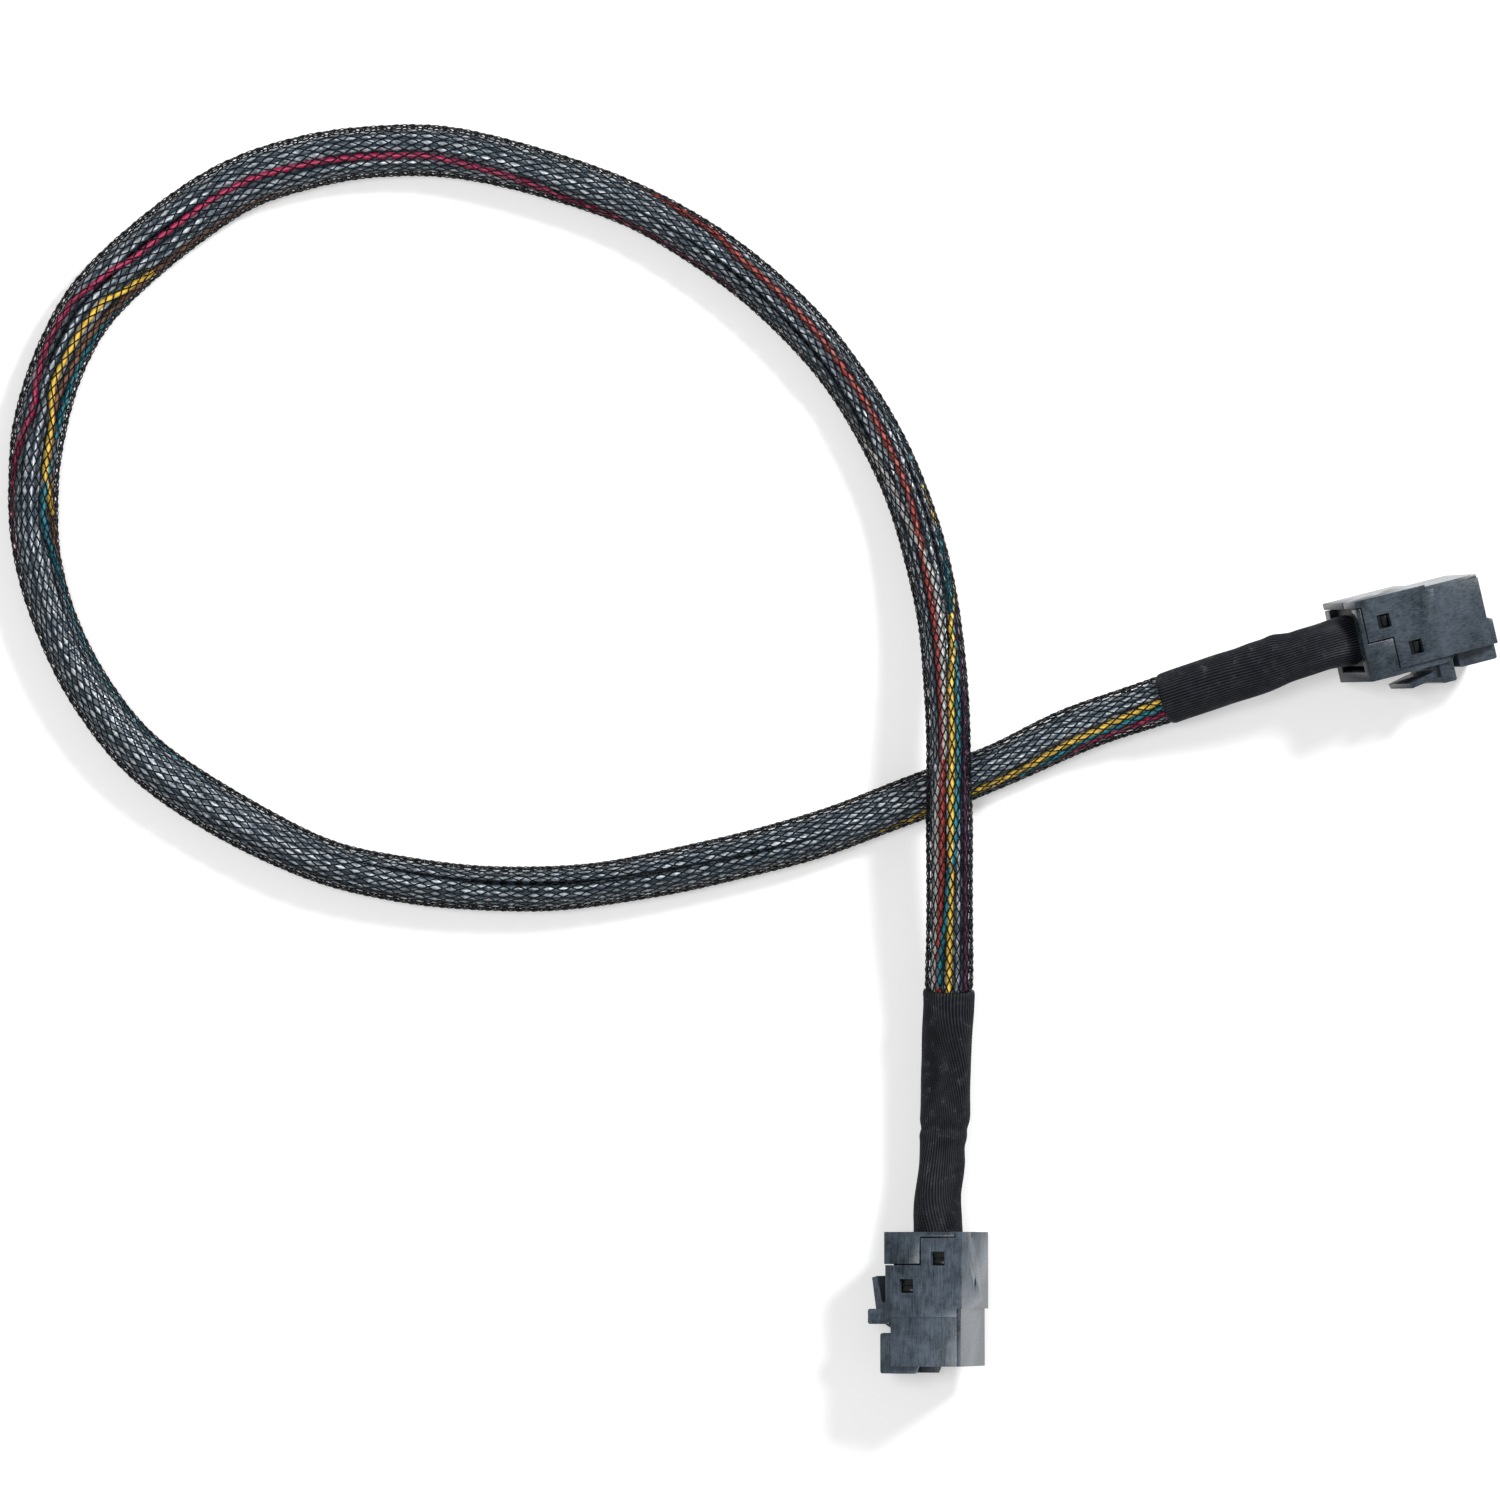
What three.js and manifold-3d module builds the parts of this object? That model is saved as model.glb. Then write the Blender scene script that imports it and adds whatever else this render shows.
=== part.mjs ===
// A mini SAS HD cable: two latching plugs joined by a bundle of twinax ribbons and sideband wires
// in an open braided sleeve, lying on a table in one loop that crosses over itself.
// Millimetres, +Z up, the table at z = 0. The origin is on the table, under the middle of the box
// around the two plugs. Each plug is made in its own frame: +X from its rear face to its mating end,
// +Y to the plain side, away from the latch, and +Z to one of its two window faces.

import * as THREE from "three";
import { mergeVertices } from "three/addons/utils/BufferGeometryUtils.js";
import Module from "manifold-3d";

const wasm = await Module();
wasm.setup();

// Fits
const slideFit = 0.15; // clearance between pieces that slide together
const faceGap = 0.3; // gap between faces that meet
const overcut = 2; // how far a cutting tool runs past the face that it cuts

// Front housing: outer form
const bodyLength = 19.4;
const bodyHeight = 11.8; // from the latch side to the plain side
const bodyDepth = 13.0; // between the two window faces
const shellWall = 1.0;
const plainWall = 0.95;
const plainStepAt = 11.1; // where the plain side steps in
const plainStep = 0.35;
const faceStepAt = 12.3; // where the window faces step in
const faceStep = 0.12;
const matingStart = 12.8; // where the latch side steps in
const matingStep = 0.95;
const lipLength = 1.05; // the mating lip stands out past the body
const lipEdge = 0.9; // the lip ends this far on the latch side of the middle
const lipSlant = 0.45;

// Front housing: hollows
const bulkheadStart = 10.2;
const bulkheadEnd = 12.0;
const fingerEdge = -0.3; // the long fingers reach back on the plain side of this line
const longFingerStart = 0.9;
const shortFingerStart = 4.8;
const bandWidth = 0.95; // rebate along the latch-side edges
const bandDrop = 0.65;
const grooveWidth = 0.5; // groove along the plain-side edges of the mating end
const grooveDrop = 0.6;

// Snap windows and the bosses in them
const windowLength = 2.0;
const windowWidth = 2.05;
const longFingerWindow = new THREE.Vector2(2.85, 1.2); // nearest corner, along and across
const shortFingerWindow = new THREE.Vector2(6.8, -3.55);
const bossStart = 0.95; // from the window's rear edge
const bossLength = 0.85;
const bossWidth = 1.6;
const bossSink = 0.75; // the boss ends this far below the window face

// Small marks of the plain side
const slitStart = 6.2;
const slitLength = 2.4;
const slitWidth = 0.9;
const notchAt = 1.5;
const notchWidth = 0.35;
const notchLength = 0.8;

// Latch: distances across are measured from the middle of the plug
const leverTip = 6.35;
const leverRoot = 11.1;
const leverOuterTip = 8.4;
const leverOuterRoot = 7.8;
const leverThickness = 0.75;
const leverHalfWidth = 4.3;
const gapEnd = 10.3;
const catchLength = 2.2;
const catchHeight = 8.75;
const catchHalfWidth = 5.2;
const gussetLength = 1.0;
const gussetHeight = 6.5;
const railStart = 14.6;
const railHeight = 7.2;
const railRound = 0.4;
const railHalfWidth = 4.2;
const rootSink = 0.4; // how far the latch and the rail reach into the wall that carries them

// Rear housing
const rearLatchWall = 1.5;
const rearSideWall = 2.0;
const insertLatchWall = 0.85;

// Paddle cards and the moulding that holds the wires on them
const cardThickness = 0.8;
const cardWidth = 8.0;
const cardPitch = 4.6;
const cardStart = 6.0;
const cardEnd = 18.6;
const cardChamfer = 0.6;
const mouldingStart = 1.2;

// Cable section
const sleeveRadius = 3.4;
const sleeveWall = 0.5;
const shrinkRadius = 3.75;
const shrinkWall = 0.25;
const ribbonWidth = 3.1;
const ribbonThickness = 0.8;
const ribbonPitch = 1.0;
const ribbonCount = 4;
const wireRadius = 0.36;
const wireSides = 8;
const tubeSides = 12;
const bundleTurns = 0.6; // turns of the bundle about its own axis, end to end
const cableOffset = 0.3; // the cable enters this far on the plain side of the plug's middle

// Cable course
const shrinkLengthA = 35.3; // outside the plug
const shrinkLengthB = 28.6;
const sleeveTuck = 2; // steps of each heat-shrink that cover the sleeve's end
const shrinkSteps = 5;
const looseSteps = 32;
const straightExit = 5.0;

// Where the plugs lie on the table: the middle of the rear face, and the turns in degrees.
// A positive pitch dips the mating end, and a positive roll lifts the plain side.
const plugPoseA = { name: "plug_a", x: -35.9, y: -37.5, heading: -90, pitch: -3.5, roll: 18.5 };
const plugPoseB = { name: "plug_b", x: 23.45, y: 47.9, heading: 14.2, pitch: 16, roll: 4 };

// The cable's middle line from plug A to plug B
const cableRoute = [
  [-34.9, -25.9, 6.6],
  [-34.4, -12.9, 6.7],
  [-34.0, 0.1, 7.9],
  [-34.0, 13.6, 9.9],
  [-34.1, 26.6, 10.75],
  [-34.4, 39.6, 9.6],
  [-35.9, 54.1, 6.5],
  [-39.7, 68.5, 4.1],
  [-44.9, 79.8, 3.45],
  [-52.1, 90.4, 3.45],
  [-60.6, 99.1, 3.45],
  [-70.5, 106.5, 3.45],
  [-82.2, 112.7, 3.45],
  [-105.0, 119.2, 3.45],
  [-116.5, 119.6, 3.45],
  [-127.9, 117.9, 3.45],
  [-139.4, 113.6, 3.45],
  [-157.6, 98.8, 3.45],
  [-163.0, 90.0, 3.45],
  [-166.2, 80.1, 3.45],
  [-167.2, 71.5, 3.45],
  [-166.8, 61.3, 3.45],
  [-163.9, 50.8, 3.45],
  [-158.4, 40.1, 3.45],
  [-149.8, 30.2, 3.45],
  [-127.0, 17.0, 3.45],
  [-113.7, 13.6, 3.45],
  [-99.1, 12.2, 3.45],
  [-84.7, 12.9, 3.45],
  [-55.6, 19.3, 3.45],
  [-41.2, 24.5, 3.45],
  [-26.9, 30.1, 3.5],
  [-15.4, 35.4, 4.1],
  [-3.5, 39.5, 6.2],
  [9.2, 43.8, 10.2],
].map(([x, y, z]) => new THREE.Vector3(x, y, z));

// A closed three.js geometry as a solid that can be cut and joined.
function solidOf(geometry) {
  const bare = geometry.clone();
  bare.deleteAttribute("normal");
  bare.deleteAttribute("uv");
  const merged = mergeVertices(bare, 1e-4);
  const vertProperties = new Float32Array(merged.attributes.position.array);
  const triVerts = new Uint32Array(merged.index.array);
  return new wasm.Manifold(new wasm.Mesh({ numProp: 3, vertProperties, triVerts }));
}

// The solid's triangles as a geometry.
function geometryOf(solid) {
  const mesh = solid.getMesh();
  const geometry = new THREE.BufferGeometry();
  geometry.setAttribute("position", new THREE.BufferAttribute(mesh.vertProperties, 3));
  geometry.setIndex(new THREE.BufferAttribute(mesh.triVerts, 1));
  geometry.computeVertexNormals();
  return geometry;
}

// A block between two corners.
function block(x0, x1, y0, y1, z0, z1) {
  const box = new THREE.BoxGeometry(x1 - x0, y1 - y0, z1 - z0);
  box.translate((x0 + x1) / 2, (y0 + y1) / 2, (z0 + z1) / 2);
  return solidOf(box);
}

// An outline in the plug's X-Y plane, carried equally far to both sides of its middle plane.
function slab(shape, halfWidth) {
  const geometry = new THREE.ExtrudeGeometry(shape, {
    depth: 2 * halfWidth,
    bevelEnabled: false,
    curveSegments: 5,
  });
  geometry.translate(0, 0, -halfWidth);
  return solidOf(geometry);
}

function mesh(name, geometry, color, roughness, metalness = 0) {
  const made = new THREE.Mesh(geometry, new THREE.MeshStandardMaterial({ color, roughness, metalness }));
  made.name = name;
  return made;
}

const latchFace = -bodyHeight / 2;
const plainFace = bodyHeight / 2;
const windowFace = bodyDepth / 2;
const matingLatchFace = latchFace + matingStep;
const pocketLatch = latchFace + shellWall;
const pocketPlain = plainFace - plainWall;
const pocketFace = windowFace - shellWall;
const matingPlainFace = plainFace - plainStep;

// The lever, with the rounded end of the gap behind it, and its root in the body.
function leverShape() {
  const outer = -leverOuterTip;
  const inner = -(leverOuterTip - leverThickness);
  const rootInner = -(leverOuterRoot - leverThickness);
  const gapMiddle = (rootInner + latchFace) / 2;
  const shape = new THREE.Shape();
  shape.moveTo(leverTip, inner);
  shape.lineTo(leverTip + leverThickness / 3, outer);
  shape.lineTo(leverRoot, -leverOuterRoot);
  shape.lineTo(leverRoot + catchLength, -leverOuterRoot);
  shape.lineTo(leverRoot + catchLength, latchFace + rootSink);
  shape.lineTo(gapEnd - shellWall, latchFace + rootSink);
  shape.lineTo(gapEnd - shellWall, latchFace);
  shape.quadraticCurveTo(gapEnd, latchFace, gapEnd, gapMiddle);
  shape.quadraticCurveTo(gapEnd, rootInner, gapEnd - shellWall, rootInner);
  shape.closePath();
  return shape;
}

// The catch stands out past the lever, and a gusset leads from it down to the mating end.
function catchShape() {
  const end = leverRoot + catchLength;
  const corner = railRound / 2;
  const shape = new THREE.Shape();
  shape.moveTo(leverRoot, latchFace + rootSink);
  shape.lineTo(leverRoot, corner - catchHeight);
  shape.lineTo(leverRoot + corner, -catchHeight);
  shape.lineTo(end - corner, -catchHeight);
  shape.lineTo(end, corner - catchHeight);
  shape.lineTo(end, latchFace + rootSink);
  shape.closePath();
  return shape;
}

function gussetShape() {
  const end = leverRoot + catchLength;
  const shape = new THREE.Shape();
  shape.moveTo(end - rootSink, matingLatchFace + rootSink);
  shape.lineTo(end - rootSink, -gussetHeight);
  shape.lineTo(end, -gussetHeight);
  shape.lineTo(end + gussetLength, matingLatchFace);
  shape.lineTo(end + gussetLength, matingLatchFace + rootSink);
  shape.closePath();
  return shape;
}

// The guide rail under the mating end has rounded outer corners.
function railShape() {
  const end = bodyLength + lipLength;
  const shape = new THREE.Shape();
  shape.moveTo(railStart, matingLatchFace + rootSink);
  shape.lineTo(railStart, railRound - railHeight);
  shape.quadraticCurveTo(railStart, -railHeight, railStart + railRound, -railHeight);
  shape.lineTo(end - railRound, -railHeight);
  shape.quadraticCurveTo(end, -railHeight, end, railRound - railHeight);
  shape.lineTo(end, matingLatchFace + rootSink);
  shape.closePath();
  return shape;
}

// The mating lip carries the latch half of the end wall on past the body, with a slanted end.
function lipShape() {
  const shape = new THREE.Shape();
  shape.moveTo(bodyLength - rootSink, matingLatchFace);
  shape.lineTo(bodyLength + lipLength, matingLatchFace);
  shape.lineTo(bodyLength + lipLength, -lipEdge - lipSlant);
  shape.lineTo(bodyLength, -lipEdge);
  shape.lineTo(bodyLength - rootSink, -lipEdge);
  shape.closePath();
  return shape;
}

function slitShape() {
  const shape = new THREE.Shape();
  shape.moveTo(slitStart, 0);
  shape.lineTo(slitStart + slitLength / 2, -slitWidth / 2);
  shape.lineTo(slitStart + slitLength, 0);
  shape.lineTo(slitStart + slitLength / 2, slitWidth / 2);
  shape.closePath();
  return shape;
}

// The two snap windows, cut right through both window faces.
function snapWindows() {
  return [longFingerWindow, shortFingerWindow].map((corner) =>
    block(
      corner.x,
      corner.x + windowLength,
      corner.y,
      corner.y + windowWidth,
      -windowFace - overcut,
      windowFace + overcut,
    ),
  );
}

// The slots in which the paddle cards lie, from x0 on, each as wide as halfWidth to both sides.
function cardSlots(x0, x1, halfWidth) {
  return [-1, 1].map((side) => {
    const middle = (side * cardPitch) / 2;
    const half = cardThickness / 2 + slideFit;
    return block(x0, x1, middle - half, middle + half, -halfWidth, halfWidth);
  });
}

function frontHousing() {
  const end = bodyLength + lipLength;
  const far = windowFace + overcut;
  let shell = block(0, bodyLength, latchFace, plainFace, -windowFace, windowFace);
  const cuts = [
    block(-overcut, shortFingerStart, latchFace - overcut, fingerEdge, -far, far),
    block(-overcut, longFingerStart, fingerEdge - overcut, pocketPlain, -far, far),
    block(-overcut, bulkheadStart, pocketLatch, pocketPlain, -pocketFace, pocketFace),
    block(matingStart, end + overcut, latchFace - overcut, matingLatchFace, -far, far),
    block(plainStepAt, end + overcut, matingPlainFace, plainFace + overcut, -far, far),
    ...snapWindows(),
    ...cardSlots(bulkheadStart - overcut, bulkheadEnd + overcut, cardWidth / 2 + slideFit),
  ];
  for (const side of [-1, 1]) {
    const between = (a, b) => [Math.min(side * a, side * b), Math.max(side * a, side * b)];
    const stepped = windowFace - faceStep;
    cuts.push(
      block(faceStepAt, end + overcut, -bodyHeight, bodyHeight, ...between(stepped, far)),
      block(0, matingStart, -bodyHeight, latchFace + bandWidth, ...between(windowFace - bandDrop, far)),
      block(
        plainStepAt,
        end + overcut,
        matingPlainFace - grooveWidth,
        plainFace + overcut,
        ...between(windowFace - grooveDrop, far),
      ),
    );
  }
  const slit = new THREE.ExtrudeGeometry(slitShape(), { depth: bodyHeight, bevelEnabled: false });
  slit.rotateX(-Math.PI / 2);
  cuts.push(solidOf(slit));
  cuts.push(block(-overcut, notchLength, 0, bodyHeight, notchAt, notchAt + notchWidth));
  for (const cut of cuts) shell = shell.subtract(cut);
  const additions = [
    slab(lipShape(), windowFace - faceStep - grooveDrop),
    slab(leverShape(), leverHalfWidth),
    slab(catchShape(), catchHalfWidth),
    slab(gussetShape(), railHalfWidth),
    slab(railShape(), railHalfWidth),
  ];
  for (const addition of additions) shell = shell.add(addition);
  const cavityLatch = matingLatchFace + shellWall;
  const cavityPlain = matingPlainFace - shellWall;
  const cavityFace = windowFace - faceStep - shellWall;
  return shell.subtract(
    block(bulkheadEnd, end + overcut, cavityLatch, cavityPlain, -cavityFace, cavityFace),
  );
}

// A channel that slides into the front housing from behind. The front housing's plain wall closes it.
function rearHousing() {
  const top = pocketPlain - slideFit;
  const insertEnd = bulkheadStart - slideFit;
  const insertFace = pocketFace - slideFit;
  const hollowFace = windowFace - rearSideWall;
  let shell = block(0, insertEnd, pocketLatch + slideFit, top, -insertFace, insertFace);
  shell = shell.add(
    block(0, shortFingerStart - slideFit, latchFace, fingerEdge - slideFit, -windowFace, windowFace),
  );
  shell = shell.add(
    block(0, longFingerStart - slideFit, fingerEdge - overcut, top, -windowFace, windowFace),
  );
  for (const corner of [longFingerWindow, shortFingerWindow]) {
    const x0 = corner.x + bossStart;
    const y0 = corner.y + (windowWidth - bossWidth) / 2;
    const reach = windowFace - bossSink;
    shell = shell.add(block(x0, x0 + bossLength, y0, y0 + bossWidth, -reach, reach));
  }
  const narrow = pocketLatch + slideFit + insertLatchWall;
  shell = shell.subtract(
    block(-overcut, bulkheadStart + overcut, narrow, bodyHeight, -hollowFace, hollowFace),
  );
  return shell.subtract(
    block(
      -overcut,
      shortFingerStart - rearLatchWall,
      latchFace + rearLatchWall,
      bodyHeight,
      -hollowFace,
      hollowFace,
    ),
  );
}

// A paddle card, with the corners of its leading edge taken off.
function paddleCard(side) {
  const half = cardWidth / 2;
  const shape = new THREE.Shape();
  shape.moveTo(cardStart, -half);
  shape.lineTo(cardEnd - cardChamfer, -half);
  shape.lineTo(cardEnd, cardChamfer - half);
  shape.lineTo(cardEnd, half - cardChamfer);
  shape.lineTo(cardEnd - cardChamfer, half);
  shape.lineTo(cardStart, half);
  shape.closePath();
  const card = new THREE.ExtrudeGeometry(shape, { depth: cardThickness, bevelEnabled: false });
  card.rotateX(-Math.PI / 2);
  card.translate(0, (side * cardPitch - cardThickness) / 2, 0);
  return card;
}

// The moulding over the wires' ends fills the rear housing and takes the cards' rear edges.
function wireMoulding() {
  const face = windowFace - rearSideWall - slideFit;
  const latchSide = pocketLatch + 2 * slideFit + insertLatchWall;
  let moulding = block(
    mouldingStart,
    bulkheadStart - faceGap,
    latchSide,
    pocketPlain - slideFit,
    -face,
    face,
  );
  for (const slot of cardSlots(cardStart - faceGap, bulkheadStart + overcut, face + overcut)) {
    moulding = moulding.subtract(slot);
  }
  return moulding;
}

// One plug, set down on the table in its pose.
function plug(pose) {
  const black = 0x2c3038;
  const group = new THREE.Group();
  const name = (piece) => pose.name + "_" + piece;
  group.add(
    mesh(name("front_housing"), geometryOf(frontHousing()), black, 0.55),
    mesh(name("rear_housing"), geometryOf(rearHousing()), 0x23272e, 0.6),
    mesh(name("latch_side_paddle_card"), paddleCard(-1), 0x1d4a35, 0.45),
    mesh(name("plain_side_paddle_card"), paddleCard(1), 0x1d4a35, 0.45),
    mesh(name("wire_moulding"), geometryOf(wireMoulding()), 0x3a3a3c, 0.7),
  );
  const radians = THREE.MathUtils.degToRad;
  group.rotation.set(radians(pose.roll), radians(pose.pitch), radians(pose.heading), "ZYX");
  group.position.set(pose.x, pose.y, 0);
  const lowest = new THREE.Box3().setFromObject(group, true).min.z;
  group.position.z = -lowest;
  group.updateMatrixWorld(true);
  return group;
}

const plugA = plug(plugPoseA);
const plugB = plug(plugPoseB);

// A point on the cable's way into a plug, x being its place in the plug's own frame.
function entryPoint(plugGroup, x) {
  return plugGroup.localToWorld(new THREE.Vector3(x, cableOffset, 0));
}

const cableEnd = mouldingStart - faceGap;
const middleLine = new THREE.CatmullRomCurve3([
  entryPoint(plugA, cableEnd),
  entryPoint(plugA, -straightExit),
  ...cableRoute,
  entryPoint(plugB, -straightExit),
  entryPoint(plugB, cableEnd),
]);
middleLine.arcLengthDivisions = 3000;
const cableLength = middleLine.getLength();

// Distances along the middle line at which every piece of the cable has a section.
function stationDistances() {
  const startA = cableEnd + shrinkLengthA;
  const startB = cableLength - cableEnd - shrinkLengthB;
  const distances = [];
  for (let i = 0; i < shrinkSteps; i += 1) distances.push((startA * i) / shrinkSteps);
  for (let i = 0; i < looseSteps; i += 1) {
    distances.push(startA + ((startB - startA) * i) / looseSteps);
  }
  for (let i = 0; i <= shrinkSteps; i += 1) {
    distances.push(startB + ((cableLength - startB) * i) / shrinkSteps);
  }
  return distances;
}

// Each section stands square to the middle line, with its normal level and to the left.
const stations = stationDistances().map((distance) => {
  const share = distance / cableLength;
  const tangent = middleLine.getTangentAt(share);
  const normal = new THREE.Vector3(0, 0, 1).cross(tangent).normalize();
  const binormal = tangent.clone().cross(normal);
  return { share, point: middleLine.getPointAt(share), tangent, normal, binormal };
});

// A stretch of the middle line between two of its stations, for ExtrudeGeometry to follow.
// Its sections turn slowly about the line, by so many turns from plug to plug.
class Stretch extends THREE.Curve {
  constructor(first, last, turns) {
    super();
    this.stations = stations.slice(first, last + 1).map((station) => {
      const angle = 2 * Math.PI * turns * station.share;
      return {
        ...station,
        normal: station.normal.clone().applyAxisAngle(station.tangent, angle),
        binormal: station.binormal.clone().applyAxisAngle(station.tangent, angle),
      };
    });
  }

  getSpacedPoints() {
    return this.stations.map((station) => station.point);
  }

  computeFrenetFrames() {
    return {
      tangents: this.stations.map((station) => station.tangent),
      normals: this.stations.map((station) => station.normal),
      binormals: this.stations.map((station) => station.binormal),
    };
  }
}

// The corners of a regular outline about a point.
function ring(radius, sides, x = 0, y = 0) {
  return Array.from({ length: sides }, (_, i) => {
    const angle = (2 * Math.PI * i) / sides;
    return new THREE.Vector2(x + radius * Math.cos(angle), y + radius * Math.sin(angle));
  });
}

function tubeShape(outer, wall) {
  const shape = new THREE.Shape(ring(outer, tubeSides));
  shape.holes.push(new THREE.Path(ring(outer - wall, tubeSides)));
  return shape;
}

// A flat ribbon of two pairs: a strip with rounded edges.
function ribbonShape(height) {
  const half = ribbonThickness / 2;
  const straight = ribbonWidth / 2 - half;
  const points = [];
  for (const side of [1, -1]) {
    for (const angle of [-60, 0, 60]) {
      const turn = THREE.MathUtils.degToRad(angle) + (side < 0 ? Math.PI : 0);
      points.push(
        new THREE.Vector2(side * straight + half * Math.cos(turn), height + half * Math.sin(turn)),
      );
    }
  }
  return new THREE.Shape(points);
}

function along(shape, first, last, turns = 0) {
  return new THREE.ExtrudeGeometry(shape, {
    steps: last - first,
    bevelEnabled: false,
    extrudePath: new Stretch(first, last, turns),
  });
}

// The sideband wires lie beside the stack of ribbons, three to each side, and above and below it.
const besideStack = ribbonWidth / 2 + slideFit + wireRadius;
const stackMiddle = (ribbonCount - 1) / 2;
const overStack = stackMiddle * ribbonPitch + ribbonThickness / 2 + wireRadius + slideFit / 2;
const wireRow = 2 * wireRadius + slideFit / 2;
const wires = [
  ["orange_wire", 0xc8462f, besideStack, -wireRow],
  ["yellow_wire", 0xe3b53a, besideStack, 0],
  ["teal_wire", 0x0b6b70, besideStack, wireRow],
  ["purple_wire", 0x5a2350, 0, overStack],
  ["crimson_wire", 0xb31f48, -besideStack, wireRow],
  ["brown_wire", 0x5d3a2a, -besideStack, 0],
  ["blue_wire", 0x23406e, -besideStack, -wireRow],
  ["white_wire", 0xd6d8da, 0, -overStack],
];

const cable = new THREE.Group();
const lastStation = stations.length - 1;
const firstLoose = shrinkSteps;
const lastLoose = lastStation - shrinkSteps;
cable.add(plugA, plugB);
cable.add(
  mesh("plug_a_heat_shrink", along(tubeShape(shrinkRadius, shrinkWall), 0, firstLoose), 0x26262a, 0.75),
  mesh(
    "plug_b_heat_shrink",
    along(tubeShape(shrinkRadius, shrinkWall), lastLoose, lastStation),
    0x26262a,
    0.75,
  ),
  mesh(
    "braided_sleeve",
    along(tubeShape(sleeveRadius, sleeveWall), firstLoose - sleeveTuck, lastLoose + sleeveTuck),
    0x1c1f24,
    0.5,
  ),
);
for (let i = 0; i < ribbonCount; i += 1) {
  const height = (i - stackMiddle) * ribbonPitch;
  const name = "twinax_ribbon_" + (i + 1);
  const ribbon = along(ribbonShape(height), 0, lastStation, bundleTurns);
  cable.add(mesh(name, ribbon, 0x717a86, 0.4, 0.3));
}
for (const [name, color, x, y] of wires) {
  const outline = new THREE.Shape(ring(wireRadius, wireSides, x, y));
  cable.add(mesh(name, along(outline, 0, lastStation, bundleTurns), color, 0.45));
}

export default cable;
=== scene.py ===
"""A mini SAS HD cable in one loop: two latching plugs, ribbed collars and a braided sleeve.

Lengths are in metres. Sizes that are easier to read in millimetres are multiplied by MM.
"""

import logging
import math
from dataclasses import dataclass
from enum import Enum
from typing import Mapping, Sequence, Union

import bmesh
import bpy
import numpy as np
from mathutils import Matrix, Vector


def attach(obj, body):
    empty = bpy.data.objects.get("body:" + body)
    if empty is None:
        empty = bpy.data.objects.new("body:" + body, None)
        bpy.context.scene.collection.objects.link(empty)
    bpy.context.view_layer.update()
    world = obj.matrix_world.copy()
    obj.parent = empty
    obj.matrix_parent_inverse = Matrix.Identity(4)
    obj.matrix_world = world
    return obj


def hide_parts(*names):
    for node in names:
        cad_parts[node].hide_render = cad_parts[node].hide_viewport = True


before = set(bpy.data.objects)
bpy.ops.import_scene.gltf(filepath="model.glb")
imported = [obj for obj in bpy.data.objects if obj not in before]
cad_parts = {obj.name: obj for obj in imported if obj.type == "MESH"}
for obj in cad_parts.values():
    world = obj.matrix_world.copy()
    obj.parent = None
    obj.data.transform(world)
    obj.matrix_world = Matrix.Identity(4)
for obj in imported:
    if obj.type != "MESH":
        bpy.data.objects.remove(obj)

Array = np.ndarray
Amount = Union["Signal", float]
Colour = tuple[float, float, float]
Steps = Sequence[tuple[float, float]]

log = logging.getLogger("cable")
MM = 0.001
BODY = "root"
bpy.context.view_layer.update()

# The cable's middle line from plug A to plug B, in millimetres. The first two and the last two
# points lie on the plugs' own axes.
MIDDLE_LINE = (
    (-35.616, -38.393, 8.171), (-35.616, -32.504, 7.811), (-34.9, -25.9, 6.6), (-34.4, -12.9, 6.7),
    (-34.0, 0.1, 7.9), (-34.0, 13.6, 9.9), (-34.1, 26.6, 10.75), (-34.4, 39.6, 9.6),
    (-35.9, 54.1, 6.5), (-39.7, 68.5, 4.1), (-44.9, 79.8, 3.45), (-52.1, 90.4, 3.45),
    (-60.6, 99.1, 3.45), (-70.5, 106.5, 3.45), (-82.2, 112.7, 3.45), (-105.0, 119.2, 3.45),
    (-116.5, 119.6, 3.45), (-127.9, 117.9, 3.45), (-139.4, 113.6, 3.45), (-157.6, 98.8, 3.45),
    (-163.0, 90.0, 3.45), (-166.2, 80.1, 3.45), (-167.2, 71.5, 3.45), (-166.8, 61.3, 3.45),
    (-163.9, 50.8, 3.45), (-158.4, 40.1, 3.45), (-149.8, 30.2, 3.45), (-127.0, 17.0, 3.45),
    (-113.7, 13.6, 3.45), (-99.1, 12.2, 3.45), (-84.7, 12.9, 3.45), (-55.6, 19.3, 3.45),
    (-41.2, 24.5, 3.45), (-26.9, 30.1, 3.5), (-15.4, 35.4, 4.1), (-3.5, 39.5, 6.2),
    (9.2, 43.8, 10.2), (18.723, 47.013, 13.195), (24.221, 48.404, 11.569),
)


# Shapes


def eased(where: Array, steps: Steps) -> Array:
    """Runs smoothly through a few values: between two steps it goes by 3t squared - 2t cubed.

    Args:
        where: the places to work out, in the steps' own unit.
        steps: pairs of a place and the value there, in order.

    Returns:
        The value at each place.
    """
    places, values = np.array(steps, dtype=float).T
    left = np.clip(np.searchsorted(places, where) - 1, 0, len(places) - 2)
    share = np.clip((where - places[left]) / (places[left + 1] - places[left]), 0.0, 1.0)
    return values[left] + (values[left + 1] - values[left]) * share**2 * (3.0 - 2.0 * share)


def unit(vectors: Array) -> Array:
    """Each vector divided by its own length."""
    return vectors / np.linalg.norm(vectors, axis=-1, keepdims=True)


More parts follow.
